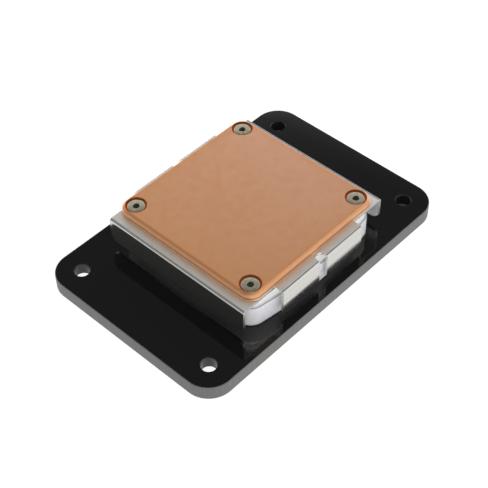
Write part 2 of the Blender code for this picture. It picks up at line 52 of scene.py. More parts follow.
def roundedOutline(halfX, halfY, radius, steps=14, middle=0.0):
    # corner centre plus radius times (cos, sin) of an angle that runs on all round, a quarter for each corner
    angle = np.linspace(0, np.pi / 2, steps) + np.arange(4)[:, None] * np.pi / 2
    outward = np.stack([np.cos(angle), np.sin(angle)], -1)
    side = np.array([[1, 1], [-1, 1], [-1, -1], [1, -1]])[:, None, :]
    centre = side * np.array([halfX - radius, halfY - radius]) + np.array([middle, 0])
    return (centre + radius * outward).reshape(-1, 2), outward.reshape(-1, 2)


def circleOutline(x, y, radius, steps=64):
    # centre plus radius times (cos, sin)
    angle = np.arange(steps) * 2 * np.pi / steps
    outward = np.stack([np.cos(angle), np.sin(angle)], -1)
    return np.array([x, y]) + radius * outward, outward


def bowedOutline(width, bow, radius, sideSteps=28, cornerSteps=18):
    # a square whose sides are arcs that swell by bow, joined by corner arcs that touch them
    half = width / 2
    sideRadius = ((half - bow) ** 2 + bow ** 2) / (2 * bow)
    back = sideRadius - half
    corner = (np.sqrt(2 * (sideRadius - radius) ** 2 - back ** 2) - back) / 2
    lean = np.arctan2(corner, corner + back)
    sideAngle = np.linspace(-lean, lean, sideSteps) - np.pi / 2
    cornerAngle = np.linspace(lean, np.pi / 2 - lean, cornerSteps)[1:-1] - np.pi / 2
    angle = np.concatenate([sideAngle, cornerAngle])
    outward = np.stack([np.cos(angle), np.sin(angle)], -1)
    onSide = np.arange(len(angle)) < sideSteps
    centre = np.where(onSide[:, None], [[0, back]], [[corner, -corner]])
    points = centre + np.where(onSide, sideRadius, radius)[:, None] * outward
    turn = np.arange(4)[:, None] * np.pi / 2
    turned = [np.stack([run[:, 0] * np.cos(turn) - run[:, 1] * np.sin(turn),
                        run[:, 0] * np.sin(turn) + run[:, 1] * np.cos(turn)], -1) for run in (points, outward)]
    return turned[0].reshape(-1, 2), turned[1].reshape(-1, 2)


def hexOutline(x, y, acrossFlats, cornerRadius, steps=4):
    # six corners with a small radius each, as a broached socket has
    angle = np.linspace(-np.pi / 6, np.pi / 6, steps) + np.arange(6)[:, None] * np.pi / 3
    outward = np.stack([np.cos(angle), np.sin(angle)], -1)
    middle = np.arange(6) * np.pi / 3
    reach = (acrossFlats / 2 - cornerRadius) / np.cos(np.pi / 6)
    centre = reach * np.stack([np.cos(middle), np.sin(middle)], -1)[:, None, :]
    return (np.array([x, y]) + centre + cornerRadius * outward).reshape(-1, 2), outward.reshape(-1, 2)


# Patches: a patch is (points, faces, material index)

def wall(outline, profile, material=0):
    # the profile's (outward, height) pairs carried round the outline; it faces out where the profile climbs
    points, outward = outline
    offset, height = np.array(profile, dtype=float).T
    rows, count = len(profile), len(points)
    flat = points[None] + outward[None] * offset[:, None, None]
    high = np.broadcast_to(height[:, None, None], (rows, count, 1))
    return gridPatch(np.concatenate([flat, high], -1), True, material)


def gridPatch(grid, closed, material=0):
    # quads between neighbours in a grid of points, with its columns joined end to end if closed
    rows, count = grid.shape[:2]
    row = np.arange(rows - 1)[:, None] * count
    column = np.arange(count if closed else count - 1)[None]
    following = (column + 1) % count
    faces = np.stack([row + column, row + following, row + count + following, row + count + column], -1)
    return grid.reshape(-1, 3), faces.reshape(-1, 4), material


def insideLoop(points, loop):
    # even-odd rule: how many of the loop's edges a ray to +X from each point crosses
    start, end = loop, np.roll(loop, -1, 0)
    y = points[:, 1, None]
    spans = (start[None, :, 1] > y) != (end[None, :, 1] > y)
    slope = (end[:, 0] - start[:, 0]) / np.where(end[:, 1] == start[:, 1], 1, end[:, 1] - start[:, 1])
    crossing = start[None, :, 0] + (y - start[None, :, 1]) * slope[None]
    return (spans & (points[:, 0, None] < crossing)).sum(1) % 2 == 1


def filled(loops, cuts=()):
    # triangles facing up, inside the first loop and outside the others, divided where the cuts cross them
    runs = [*loops, *cuts]
    starts = np.cumsum([0] + [len(run) for run in runs[:-1]])
    edges = []
    for number, (start, run) in enumerate(zip(starts, runs)):
        index = np.arange(len(run))
        pairs = np.column_stack([index, np.roll(index, -1)]) + start
        edges += (pairs if number < len(loops) else pairs[:-1]).tolist()
    found = delaunay_2d_cdt(np.concatenate(runs).tolist(), edges, [], 0, 1e-9)
    points = np.array(found[0])
    faces = np.array(found[2])
    middle = points[faces].mean(1)
    keep = insideLoop(middle, loops[0])
    for hole in loops[1:]:
        keep &= ~insideLoop(middle, hole)
    faces = faces[keep]
    # twice a triangle's area, which is below zero where it faces down
    first, second, third = (points[faces[:, corner]] for corner in range(3))
    across, along = second - first, third - first
    area = across[:, 0] * along[:, 1] - across[:, 1] * along[:, 0]
    faces[area < 0] = faces[area < 0][:, ::-1]
    return points, faces


def flat(outlines, height, up=True):
    # the first outline less the others, as triangles at one height
    points, faces = filled(outlines)
    if not up:
        faces = faces[:, ::-1]
    return np.column_stack([points, np.full(len(points), height)]), faces, 0


def grown(outline, offset=0.0):
    # the outline moved outwards
    points, outward = outline
    return points + outward * offset


def drill(outline, profile, patches, aboveHoles, belowHoles, material=0):
    # a hole's wall from the top down, and the loops that it leaves in the face above and in the face below
    patches.append(wall(outline, profile, material))
    aboveHoles.append(grown(outline, profile[0][0]))
    belowHoles.append(grown(outline, profile[-1][0]))


meshSettings = {"joinWithin": 0.0005 * mm, "crease": np.radians(38), "flatWeight": 60}


def addObject(name, data):
    thing = bpy.data.objects.new(name, data)
    bpy.context.scene.collection.objects.link(thing)
    return thing


def keepFlat(piece, keepSharp):
    # normals weighted by face area, so that a flat face shades flat up to its rounded edges
    normals = piece.modifiers.new("flat faces stay flat", "WEIGHTED_NORMAL")
    normals.keep_sharp = keepSharp
    normals.weight = meshSettings["flatWeight"]


def buildPiece(name, patches, wears, node):
    # patches joined into one closed mesh at the origin, riding on the body in place of its node
    starts = np.cumsum([0] + [len(patch[0]) for patch in patches[:-1]])
    faces = []
    for start, patch in zip(starts, patches):
        faces += (patch[1] + start).tolist()
    mesh = bpy.data.meshes.new(name)
    mesh.from_pydata(np.concatenate([patch[0] for patch in patches]).tolist(), [], faces)
    mesh.polygons.foreach_set("material_index", np.concatenate(
        [np.full(len(patch[1]), patch[2]) for patch in patches]).astype(np.int32))
    for key in wears:
        mesh.materials.append(materials[key])
    joined = bmesh.new()
    joined.from_mesh(mesh)
    bmesh.ops.remove_doubles(joined, verts=joined.verts, dist=meshSettings["joinWithin"])
    openEdges = sum(1 for edge in joined.edges if len(edge.link_faces) != 2)
    joined.to_mesh(mesh)
    joined.free()
    mesh.shade_smooth()
    mesh.set_sharp_from_angle(angle=meshSettings["crease"])
    piece = addObject(name, mesh)
    keepFlat(piece, True)
    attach(piece, "root")
    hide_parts(node)
    print(name, "made,", len(mesh.polygons), "faces,", openEdges, "open edges")


# Shared effects, as node groups

def setInputs(tree, node, values):
    # a socket is linked, and a plain value is set on the input itself
    for key, value in values.items():
        if isinstance(value, bpy.types.NodeSocket):
            tree.links.new(value, node.inputs[key])
        else:
            node.inputs[key].default_value = value


def newGroup(name, inputs, outputs):
    # a group that takes a vector and the plain numbers named here, and its own input sockets and output node
    group = bpy.data.node_groups.new(name, "ShaderNodeTree")
    group.interface.new_socket("Vector", in_out="INPUT", socket_type="NodeSocketVector")
    for title, value in inputs.items():
        group.interface.new_socket(title, in_out="INPUT", socket_type="NodeSocketFloat").default_value = value
    for title in outputs:
        group.interface.new_socket(title, in_out="OUTPUT", socket_type="NodeSocketFloat")
    return group, group.nodes.new("NodeGroupInput").outputs, group.nodes.new("NodeGroupOutput")


def addNode(tree, kind, values, **settings):
    node = tree.nodes.new("ShaderNode" + kind)
    for key, value in settings.items():
        setattr(node, key, value)
    setInputs(tree, node, values)
    return node


def mathNode(tree, operation, first, second=0.0):
    return addNode(tree, "Math", {0: first, 1: second}, operation=operation).outputs[0]


def blendNode(tree, share, first, second):
    return addNode(tree, "Mix", {0: share, 2: first, 3: second}).outputs[0]


def rangeNode(tree, value, low, high, lowOut=0.0, highOut=1.0):
    # the value's range from low to high, stretched to the two outputs and held there
    return addNode(tree, "MapRange", {"Value": value, "From Min": low, "From Max": high, "To Min": lowOut,
                                                "To Max": highOut}, clamp=True).outputs["Result"]


def mixColor(tree, factor, first, second):
    return addNode(tree, "Mix", {0: factor, 6: first, 7: second}, data_type="RGBA").outputs[2]


def noiseNode(tree, vector, scale, detail, roughness=0.5):
    return addNode(tree, "TexNoise", {"Vector": vector, "Scale": scale, "Detail": detail,
                                      "Roughness": roughness}).outputs["Fac"]


def noiseAlong(tree, value, scale, detail):
    # noise that changes with one value only, so it draws lines where the value stays the same
    return addNode(tree, "TexNoise", {"W": value, "Scale": scale, "Detail": detail},
                   noise_dimensions="1D").outputs["Fac"]


def brushedGrain():
    # streaks: noise drawn out along one axis, in a coarse and a fine layer
    group, given, result = newGroup("brushedGrain", {"Across": 9000.0, "Along": 120.0}, ["Streaks", "Wide"])
    stretch = addNode(group, "CombineXYZ", {"X": given["Along"], "Y": given["Across"], "Z": given["Across"]})
    drawn = addNode(group, "VectorMath", {0: given["Vector"], 1: stretch.outputs[0]},
                    operation="MULTIPLY").outputs[0]
    setInputs(group, result, {"Streaks": noiseNode(group, drawn, 1.0, 3.0),
                              "Wide": noiseNode(group, drawn, 0.17, 2.0)})
    return group


def cloudyPatches():
    # broad soft patches with finer ones inside them, from two sizes of noise
    group, given, result = newGroup("cloudyPatches", {"Scale": 60.0, "Fine Share": 0.35},
                                    ["Patches", "Speckle"])
    broad = noiseNode(group, given["Vector"], given["Scale"], 4.0, 0.62)
    fine = noiseNode(group, given["Vector"], mathNode(group, "MULTIPLY", given["Scale"], 14.0), 3.0)
    blended = blendNode(group, given["Fine Share"], broad, fine)
    setInputs(group, result, {"Patches": rangeNode(group, blended, 0.36, 0.64), "Speckle": fine})
    return group


def dustSpecks():
    # scattered specks: the middles of small cells, kept only where a noise is high
    group, given, result = newGroup("dustSpecks", {"Scale": 700.0, "Size": 0.1}, ["Specks"])
    cells = addNode(group, "TexVoronoi", {"Vector": given["Vector"], "Scale": given["Scale"]})
    near = mathNode(group, "LESS_THAN", cells.outputs["Distance"], given["Size"])
    dusty = rangeNode(group, noiseNode(group, given["Vector"], 45.0, 2.0), 0.5, 0.62)
    setInputs(group, result, {"Specks": mathNode(group, "MULTIPLY", near, dusty)})
    return group


groups = {"grain": brushedGrain(), "patches": cloudyPatches(), "specks": dustSpecks()}


def tint(color, share=1.0):
    # a colour with its alpha, made darker or lighter by the share
    return (*(share * part for part in color), 1)


def newMaterial(name, color, roughness, metallic=0.0, **plain):
    # a Principled material and its tree, with the plain values set on the shader itself
    material = bpy.data.materials.new(name)
    material.use_nodes = True
    material.diffuse_color = tint(color)
    tree = material.node_tree
    shader = tree.nodes["Principled BSDF"]
    setInputs(tree, shader, {"Base Color": tint(color), "Roughness": roughness, "Metallic": metallic})
    setInputs(tree, shader, {title.replace("_", " "): value for title, value in plain.items()})
    return material, tree, shader


def useGroup(tree, key, values):
    return addNode(tree, "Group", values, node_tree=groups[key]).outputs


def placeOf(tree):
    return tree.nodes.new("ShaderNodeTexCoord").outputs["Object"]


def axesOf(tree, place):
    return addNode(tree, "SeparateXYZ", {"Vector": place}).outputs


def distanceNode(tree, first, second):
    # the root of the sum of two squares
    squares = [mathNode(tree, "MULTIPLY", side, side) for side in (first, second)]
    return mathNode(tree, "SQRT", mathNode(tree, "ADD", *squares))


def roundedReach(tree, apart, half, corner):
    # distance out from the middle, measured round the corner arcs, so that it follows the rounded outline
    beyond = [mathNode(tree, "MAXIMUM", mathNode(tree, "SUBTRACT", mathNode(tree, "ABSOLUTE", apart[axis]),
                                                 half - corner)) for axis in ("X", "Y")]
    return mathNode(tree, "ADD", distanceNode(tree, *beyond), half - corner)


def lineAt(tree, value, at, halfWidth, fade, strength):
    # the strength where the value is within halfWidth of at, fading to nothing beyond
    away = mathNode(tree, "ABSOLUTE", mathNode(tree, "SUBTRACT", value, at))
    return rangeNode(tree, away, halfWidth, halfWidth + fade, strength, 0.0)


def bumpFrom(tree, shader, height, distance, strength):
    bump = addNode(tree, "Bump", {"Height": height, "Distance": distance, "Strength": strength})
    setInputs(tree, shader, {"Normal": bump.outputs["Normal"]})
    return bump


glossLook = {
    "color": (0.0085, 0.0082, 0.0085), "roughness": 0.045, "roughest": 0.081, "dust": (0.4, 0.4, 0.39),
    "dustShare": 0.10, "rippleDepth": 0.02 * mm,
}


def glossBlack():
    # polished sheet with a faint ripple and a little dust on it
    look = glossLook
    material, tree, shader = newMaterial("glossBlackAcrylic", look["color"], look["roughness"], IOR=1.49)
    place = placeOf(tree)
    specks = useGroup(tree, "specks", {"Vector": place, "Scale": 520.0, "Size": 0.07})["Specks"]
    patches = useGroup(tree, "patches", {"Vector": place, "Scale": 38.0})
    dusty = mathNode(tree, "MULTIPLY", specks, look["dustShare"])
    rough = rangeNode(tree, patches["Patches"], 0, 1, look["roughness"], look["roughest"])
    setInputs(tree, shader, {"Base Color": mixColor(tree, dusty, tint(look["color"]), tint(look["dust"])),
                             "Roughness": rough})
    bumpFrom(tree, shader, noiseNode(tree, place, 95.0, 1.0), look["rippleDepth"], 0.5)
    return material


sawnLook = {
    "color": (0.158, 0.158, 0.155), "roughness": 0.55, "darkest": 0.86, "lightest": 1.14, "lineShare": 0.3,
    "toothShare": 0.6, "depth": 0.02 * mm,
}


def sawnBlack():
    # the plate's sawn sides: fine upright tooth marks and level lines over a satin grey
    look = sawnLook
    material, tree, shader = newMaterial("sawnBlackAcrylic", look["color"], look["roughness"])
    place = placeOf(tree)
    marks = useGroup(tree, "grain", {"Vector": place, "Across": 9000.0, "Along": 9000.0})["Wide"]
    apart = axesOf(tree, place)
    teeth = noiseAlong(tree, mathNode(tree, "SUBTRACT", apart["X"], apart["Y"]), 1900.0, 1.0)
    lines = noiseAlong(tree, apart["Z"], 2600.0, 2.0)
    height = blendNode(tree, look["toothShare"], blendNode(tree, look["lineShare"], marks, lines), teeth)
    setInputs(tree, shader, {"Base Color": mixColor(tree, rangeNode(tree, height, 0.35, 0.65), tint(
        look["color"], look["darkest"]), tint(look["color"], look["lightest"]))})
    bumpFrom(tree, shader, height, look["depth"], 0.6)
    return material


drilledLook = {"color": (0.022, 0.022, 0.02), "roughness": 0.24, "smoothest": 0.16, "roughest": 0.34,
               "depth": 0.015 * mm}


def drilledBlack():
    # rings that the drill left round each hole
    look = drilledLook
    material, tree, shader = newMaterial("drilledBlackAcrylic", look["color"], look["roughness"], IOR=1.49)
    rings = noiseAlong(tree, axesOf(tree, placeOf(tree))["Z"], 3000.0, 2.0)
    rough = rangeNode(tree, rings, 0.3, 0.7, look["smoothest"], look["roughest"])
    setInputs(tree, shader, {"Roughness": rough})
    bumpFrom(tree, shader, rings, look["depth"], 0.5)
    return material


copperLook = {
    "pink": (0.81, 0.465, 0.315), "orange": (0.76, 0.385, 0.185), "roughness": 0.52, "depth": 0.006 * mm,
    # the share of orange at the left and right ends of the face, and what the patches add to it
    "orangeLeft": 0.72, "orangeRight": -0.12, "patchShare": 0.4,
    # a painted reflection: a band along the edge of the face is warmer, by a power of how far into the band
    "edge": (0.80, 0.385, 0.175), "reflectionBand": 6 * mm, "edgePower": 1.6, "reflectionShare": 0.75,
    # a painted highlight: the side is brighter below the drop of the rounded edge, and paler still below a
    # painted shade line
    "side": (0.90, 0.50, 0.28), "edgeDrop": 0.8 * mm, "pale": (1.0, 0.81, 0.64), "paleHighlightDrop": 2.15 * mm,
    "paleHighlightFade": 0.1 * mm,
    # painted shade lines: at the start of the rounded edge, where it turns down on the two ends, and above the
    # pale part
    "line": (0.36, 0.15, 0.06), "lineHalf": 0.06 * mm, "paleShadeLineHalf": 0.16 * mm, "lineFade": 0.15 * mm,
    "startShadeStrength": 0.08, "turnShadeStrength": 0.25, "paleShadeStrength": 0.95,
    # the light that bounces about in the narrow gap round a screw head
    "boreGlow": (0.07, 0.022, 0.007),
}


def lappedCopper(half, top, corner):
    # soft pink and orange patches over a fine criss-cross from lapping, with a painted reflection warming the
    # edge, a painted highlight on the side and painted shade lines
    look = copperLook
    material, tree, shader = newMaterial("lappedCopper", look["pink"], look["roughness"], 1.0)
    place = placeOf(tree)
    patches = useGroup(tree, "patches", {"Vector": place, "Scale": 21.0, "Fine Share": 0.22})
    apart = axesOf(tree, place)
    leftToRight = rangeNode(tree, apart["X"], -half, half, look["orangeLeft"], look["orangeRight"])
    patchy = rangeNode(tree, patches["Patches"], 0, 1, 0.0, look["patchShare"])
    color = mixColor(tree, mathNode(tree, "ADD", leftToRight, patchy), tint(look["pink"]), tint(look["orange"]))
    reach = roundedReach(tree, apart, half, corner)
    # painted reflection of the rounded edge, warming the face towards it
    band = mathNode(tree, "POWER", rangeNode(tree, reach, half - look["reflectionBand"], half), look["edgePower"])
    color = mixColor(tree, mathNode(tree, "MULTIPLY", band, look["reflectionShare"]), color, tint(look["edge"]))
    drop = mathNode(tree, "SUBTRACT", top, apart["Z"])
    down, pale = look["edgeDrop"], look["paleHighlightDrop"]
    # painted highlight: the side brighter below the rounded edge, and paler still near the bottom
    color = mixColor(tree, rangeNode(tree, drop, 0.6 * down, 1.1 * down), color, tint(look["side"]))
    color = mixColor(tree, rangeNode(tree, drop, pale, pale + look["paleHighlightFade"]), color, tint(look["pale"]))
    onEnds = mathNode(tree, "GREATER_THAN", mathNode(tree, "ABSOLUTE", apart["X"]),
                      mathNode(tree, "ABSOLUTE", apart["Y"]))
    turnShadeStrength = mathNode(tree, "MULTIPLY", onEnds, look["turnShadeStrength"])
    thin, wide = look["lineHalf"], look["paleShadeLineHalf"]
    # painted shade lines along the rounded edge and the side
    for value, at, halfWidth, strength in (
            (reach, half - 1.2 * down, thin, look["startShadeStrength"]),
            (drop, 0.45 * down, thin, turnShadeStrength),
            (drop, pale, wide, look["paleShadeStrength"])):
        line = lineAt(tree, value, at, halfWidth, look["lineFade"], strength)
        color = mixColor(tree, line, color, tint(look["line"]))
    first = useGroup(tree, "grain", {"Vector": place, "Across": 7000.0, "Along": 500.0})["Streaks"]
    turned = addNode(tree, "Mapping", {"Vector": place, "Rotation": (0, 0, np.radians(68))})
    second = useGroup(tree, "grain", {"Vector": turned.outputs[0], "Across": 7000.0, "Along": 500.0})["Streaks"]
    bumpFrom(tree, shader, mathNode(tree, "ADD", first, second), look["depth"], 0.5)
    rough = rangeNode(tree, patches["Speckle"], 0.3, 0.7, 0.9 * look["roughness"], 1.12 * look["roughness"])
    setInputs(tree, shader, {"Base Color": color, "Roughness": rough})
    return material


steelLook = {
    "color": (0.64, 0.63, 0.60), "roughness": 0.14, "darkest": 0.93, "lightest": 1.05, "depth": 0.002 * mm,
    "anisotropy": 0.4, "metal": 0.97,
    # the top is scuffed pale and dull, from just below it
    "topColor": (0.97, 0.985, 0.96), "topRoughness": 0.50, "topMetal": 0.12, "topStart": 0.12 * mm,
    "topFull": 0.005 * mm,
    # a painted reflection of the copper: next to it, the top takes on its colour
    "paintedCopperReflection": (0.97, 0.70, 0.50), "paintedCopperReflectionWidth": 1.6 * mm, "paintedCopperReflectionShare": 0.9,
    # painted shade: the bend at the right end is darker, beyond a reach from the copper and above a drop from
    # the top
    "paintedShadeBend": (0.09, 0.088, 0.085), "paintedShadeBendReach": (2.0 * mm, 2.3 * mm), "paintedShadeBendDrop": (1.0 * mm, 0.8 * mm),
    "paintedShadeBendShare": 0.8,
    # the slope by which the folded sides lean out in their shading
    "lean": 0.055,
}


def brushedSteel(name, folded=None):
    # streaks along the sheet's own length; a folded sheet gives the height of its top, and the half width and
    # the corner of the copper on it
    look = steelLook
    material, tree, shader = newMaterial(name, look["color"], look["roughness"], 1.0)
    place = placeOf(tree)
    along = addNode(tree, "UVMap", {}, uv_map="blank").outputs[0] if folded else place
    grain = useGroup(tree, "grain", {"Vector": along, "Across": 6500.0, "Along": 160.0})
    patches = useGroup(tree, "patches", {"Vector": place, "Scale": 55.0})
    color = mixColor(tree, rangeNode(tree, grain["Wide"], 0.3, 0.7), tint(look["color"], look["darkest"]),
                     tint(look["color"], look["lightest"]))
    low = look["roughness"]
    rough = mathNode(tree, "ADD", rangeNode(tree, grain["Streaks"], 0.3, 0.7, low * 0.85, low * 1.15),
                     rangeNode(tree, patches["Patches"], 0, 1, -0.02, 0.03))
    bump = bumpFrom(tree, shader, grain["Streaks"], look["depth"], 0.1)
    if folded:
        color, rough = foldedFinish(tree, shader, bump, color, rough, *folded)
    setInputs(tree, shader, {"Base Color": color, "Roughness": rough})
    return material


def foldedFinish(tree, shader, bump, color, rough, top, copperHalf, copperCorner):
    # the brushing spreads a reflection across its lines, so the blank's own length is the tangent
    look = steelLook
    tangent = addNode(tree, "Tangent", {}, direction_type="UV_MAP", uv_map="blank")
    setInputs(tree, shader, {"Tangent": tangent.outputs[0], "Anisotropic": look["anisotropy"],
                             "Anisotropic Rotation": 0.25})
    apart = axesOf(tree, placeOf(tree))
    dull = rangeNode(tree, apart["Z"], top - look["topStart"], top - look["topFull"])
    added = mathNode(tree, "MULTIPLY", dull, look["topRoughness"] - look["roughness"])
    setInputs(tree, shader, {"Metallic": rangeNode(tree, dull, 0, 1, look["metal"], look["topMetal"])})
    reach = roundedReach(tree, apart, copperHalf, copperCorner)
    # painted reflection of the copper on the top next to it
    beside = rangeNode(tree, reach, copperHalf, copperHalf + look["paintedCopperReflectionWidth"], look["paintedCopperReflectionShare"], 0.0)
    color = mixColor(tree, dull, color, mixColor(tree, beside, tint(look["topColor"]), tint(look["paintedCopperReflection"])))
    # painted shade along the bend at the right end
    outward = rangeNode(tree, apart["X"], *(copperHalf + reach for reach in look["paintedShadeBendReach"]))
    upward = rangeNode(tree, apart["Z"], *(top - drop for drop in look["paintedShadeBendDrop"]))
    paintedShadeBend = mathNode(tree, "MULTIPLY", mathNode(tree, "MULTIPLY", outward, upward), look["paintedShadeBendShare"])
    color = mixColor(tree, paintedShadeBend, color, tint(look["paintedShadeBend"]))
    lean = addNode(tree, "Bump", {"Height": mathNode(tree, "MULTIPLY", apart["Z"], -look["lean"]),
                                            "Distance": 1.0, "Strength": 1.0})
    setInputs(tree, bump, {"Normal": lean.outputs["Normal"]})
    return color, mathNode(tree, "ADD", rough, added)


bodyLook = {
    "color": (0.86, 0.86, 0.90), "darkest": 0.94, "roughness": 0.24, "depth": 0.006 * mm,
    # light carried inside the clear body, which its walls and its ledge give out
    "glow": (0.11, 0.11, 0.115), "ledgeGlow": (0.84, 0.86, 0.80), "ledgeFade": 0.03 * mm,
    # the height and strength of a painted shade line along each machined edge, the last one at the ledge
    "line": (0.20, 0.20, 0.22), "lines": ((6.05 * mm, 0.45), (12.9 * mm, 0.8), (13.4 * mm, 0.8)),
    "lineHalf": 0.06 * mm, "lineFade": 0.08 * mm,
}


def milkyAcrylic():
    # milky white, with a painted shade line where each machined edge runs round, in place of the shade that
    # such an edge of clear sheet shows
    look = bodyLook
    material, tree, shader = newMaterial("milkyClearAcrylic", look["color"], look["roughness"], IOR=1.49,
                                         Subsurface_Weight=0.5, Subsurface_Scale=0.002,
                                         Subsurface_Radius=(1, 1, 1), Emission_Strength=1.0)
    place = placeOf(tree)
    patches = useGroup(tree, "patches", {"Vector": place, "Scale": 70.0})
    color = mixColor(tree, patches["Patches"], tint(look["color"], look["darkest"]), tint(look["color"]))
    height = axesOf(tree, place)["Z"]
    # painted shade lines at the machined edges
    for lineHeight, strength in look["lines"]:
        line = lineAt(tree, height, lineHeight, look["lineHalf"], look["lineFade"], strength)
        color = mixColor(tree, line, color, tint(look["line"]))
    ledge = rangeNode(tree, height, lineHeight - look["ledgeFade"], lineHeight + look["ledgeFade"])
    glow = mixColor(tree, ledge, tint(look["glow"]), tint(look["ledgeGlow"]))
    marks = useGroup(tree, "grain", {"Vector": place, "Across": 3000.0, "Along": 3000.0})["Wide"]
    rough = rangeNode(tree, marks, 0.35, 0.65, 0.8 * look["roughness"], 1.4 * look["roughness"])
    setInputs(tree, shader, {"Base Color": color, "Emission Color": glow, "Roughness": rough})
    bumpFrom(tree, shader, marks, look["depth"], 0.4)
    return material


# The plainer finishes: freshly cut copper, the sheet's sheared edge, machined screw steel with handling marks,
# a socket darkened with painted shade, and the rubber, plastic and brass of the inner pieces. Each has a dark
# and a light colour, and what it doesn't say itself comes from plainFinish
plainFinish = {"metal": 1.0, "fine": 0.35, "bump": (0.006 * mm, 0.4)}
patchyLooks = {
    "boredCopper": {"colors": ((0.64, 0.308, 0.14), (0.80, 0.385, 0.175)), "roughness": 0.35, "scale": 400.0},
    "cutSteelEdge": {"colors": ((0.792, 0.7832, 0.7568), (0.90, 0.89, 0.86)), "roughness": 0.32, "scale": 300.0,
                     "fine": 0.5, "bump": (0.01 * mm, 0.4)},
    "turnedSteel": {"colors": ((0.4368, 0.4116, 0.3192), (0.5824, 0.5488, 0.4256)), "roughness": 0.36,
                    "scale": 420.0, "fine": 0.5, "bump": (0.004 * mm, 0.4), "roughnessRange": (0.288, 0.468)},
    # the socket's dark colours are painted shade in its recess
    "shadedSocketSteel": {"colors": ((0.15, 0.13, 0.095), (0.30, 0.26, 0.19)), "roughness": 0.5, "metal": 0.7,
                    "scale": 700.0, "fine": 0.5, "bump": (0.01 * mm, 0.4)},
    "mouldedRubber": {"colors": ((0.015, 0.015, 0.015), (0.028, 0.027, 0.026)), "roughness": 0.55, "metal": 0.0,
                      "scale": 300.0, "bump": (0.01 * mm, 0.4)},
    "mouldedBlackPlastic": {"colors": ((0.024, 0.024, 0.025), (0.04, 0.04, 0.04)), "roughness": 0.42,
                            "metal": 0.0, "scale": 240.0, "fine": 0.6, "bump": (0.012 * mm, 0.5)},
    "turnedBrass": {"colors": ((0.68, 0.48, 0.22), (0.80, 0.61, 0.33)), "roughness": 0.32, "scale": 380.0},
}


def patchyMaterial(name, **plain):
    # soft patches between the two colours, over an uneven surface
    look = {**plainFinish, **patchyLooks[name]}
    dark, light = look["colors"]
    material, tree, shader = newMaterial(name, light, look["roughness"], look["metal"], **plain)
    patches = useGroup(tree, "patches", {"Vector": placeOf(tree), "Scale": look["scale"],
                                         "Fine Share": look["fine"]})
    setInputs(tree, shader, {"Base Color": mixColor(tree, patches["Patches"], tint(dark), tint(light))})
    if "roughnessRange" in look:
        rough = rangeNode(tree, patches["Speckle"], 0.3, 0.7, *look["roughnessRange"])
        setInputs(tree, shader, {"Roughness": rough})
    bumpFrom(tree, shader, patches["Speckle"], *look["bump"])
    return material


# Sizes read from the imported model

plateLow, plateHigh = np.array(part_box("mounting_plate"))
bodyLow, bodyHigh = np.array(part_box("clear_body"))
trayLow, trayHigh = np.array(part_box("steel_tray"))
copperLow, copperHigh = np.array(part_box("cold_plate"))
headLow, headHigh = np.array(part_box("cold_plate_screw_front_right"))
cornerNames = ["front_left", "front_right", "back_right", "back_left"]
cornerSigns = [(-1, -1), (1, -1), (1, 1), (-1, 1)]
screwReach = (headLow[0] + headHigh[0]) / 2
screwPlaces = [(x * screwReach, y * screwReach) for x, y in cornerSigns]
plateScrewLow, plateScrewHigh = np.array(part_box("plate_screw_back_right"))
plateScrewReach = (plateScrewLow + plateScrewHigh) / 2
plateScrewPlaces = [(x * plateScrewReach[0], y * plateScrewReach[1]) for x, y in cornerSigns]
sealLow, sealHigh = np.array(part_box("outlet_port_seal"))
portReach = (sealLow[0] + sealHigh[0]) / 2
portPlaces = [(-portReach, 0.0), (portReach, 0.0)]
screwHole = 1.8 * mm        # radius of the clearance hole round every 3 mm screw

plateSettings = {
    "corner": 8.35 * mm, "chamfer": 0.25 * mm, "holeEdge": 8.35 * mm, "hole": 4.9 * mm, "holeTop": 0.2 * mm,
    "holeLead": 1.25 * mm, "leadIn": 0.6 * mm, "threadRows": 60,
    # the countersunk screws that hold the body from below
    "screwHead": 5.6 * mm, "screwRecess": 0.3 * mm, "screwSocket": 2 * mm, "screwSocketDepth": 0.9 * mm,
    "screwEdge": 0.1 * mm,
}
portThread = {
    "radius": 5.72 * mm, "depth": 0.36 * mm, "rest": 0.5, "pitch": 1.337 * mm, "fade": 0.5 * mm, "steps": 64,
}


def threadPatch(x, y, height, form, hand, material=0):
    # radius plus depth times a triangle wave of height over pitch plus the turn, fading to rest at both ends
    angle = np.arange(form["steps"]) * 2 * np.pi / form["steps"]
    phase = (height[:, None] / form["pitch"] + hand * angle[None] / (2 * np.pi)) % 1
    wave = 1 - np.abs(2 * phase - 1)
    nearEnd = np.abs(height[:, None] - height[[0, -1]]).min(1) / form["fade"]
    share = np.clip(nearEnd, 0, 1)[:, None]
    reach = form["radius"] + form["depth"] * (form["rest"] + (wave - form["rest"]) * share)
    grid = np.stack([x + reach * np.cos(angle), y + reach * np.sin(angle),
                     np.broadcast_to(height[:, None], reach.shape)], -1)
    return gridPatch(grid, True, material)


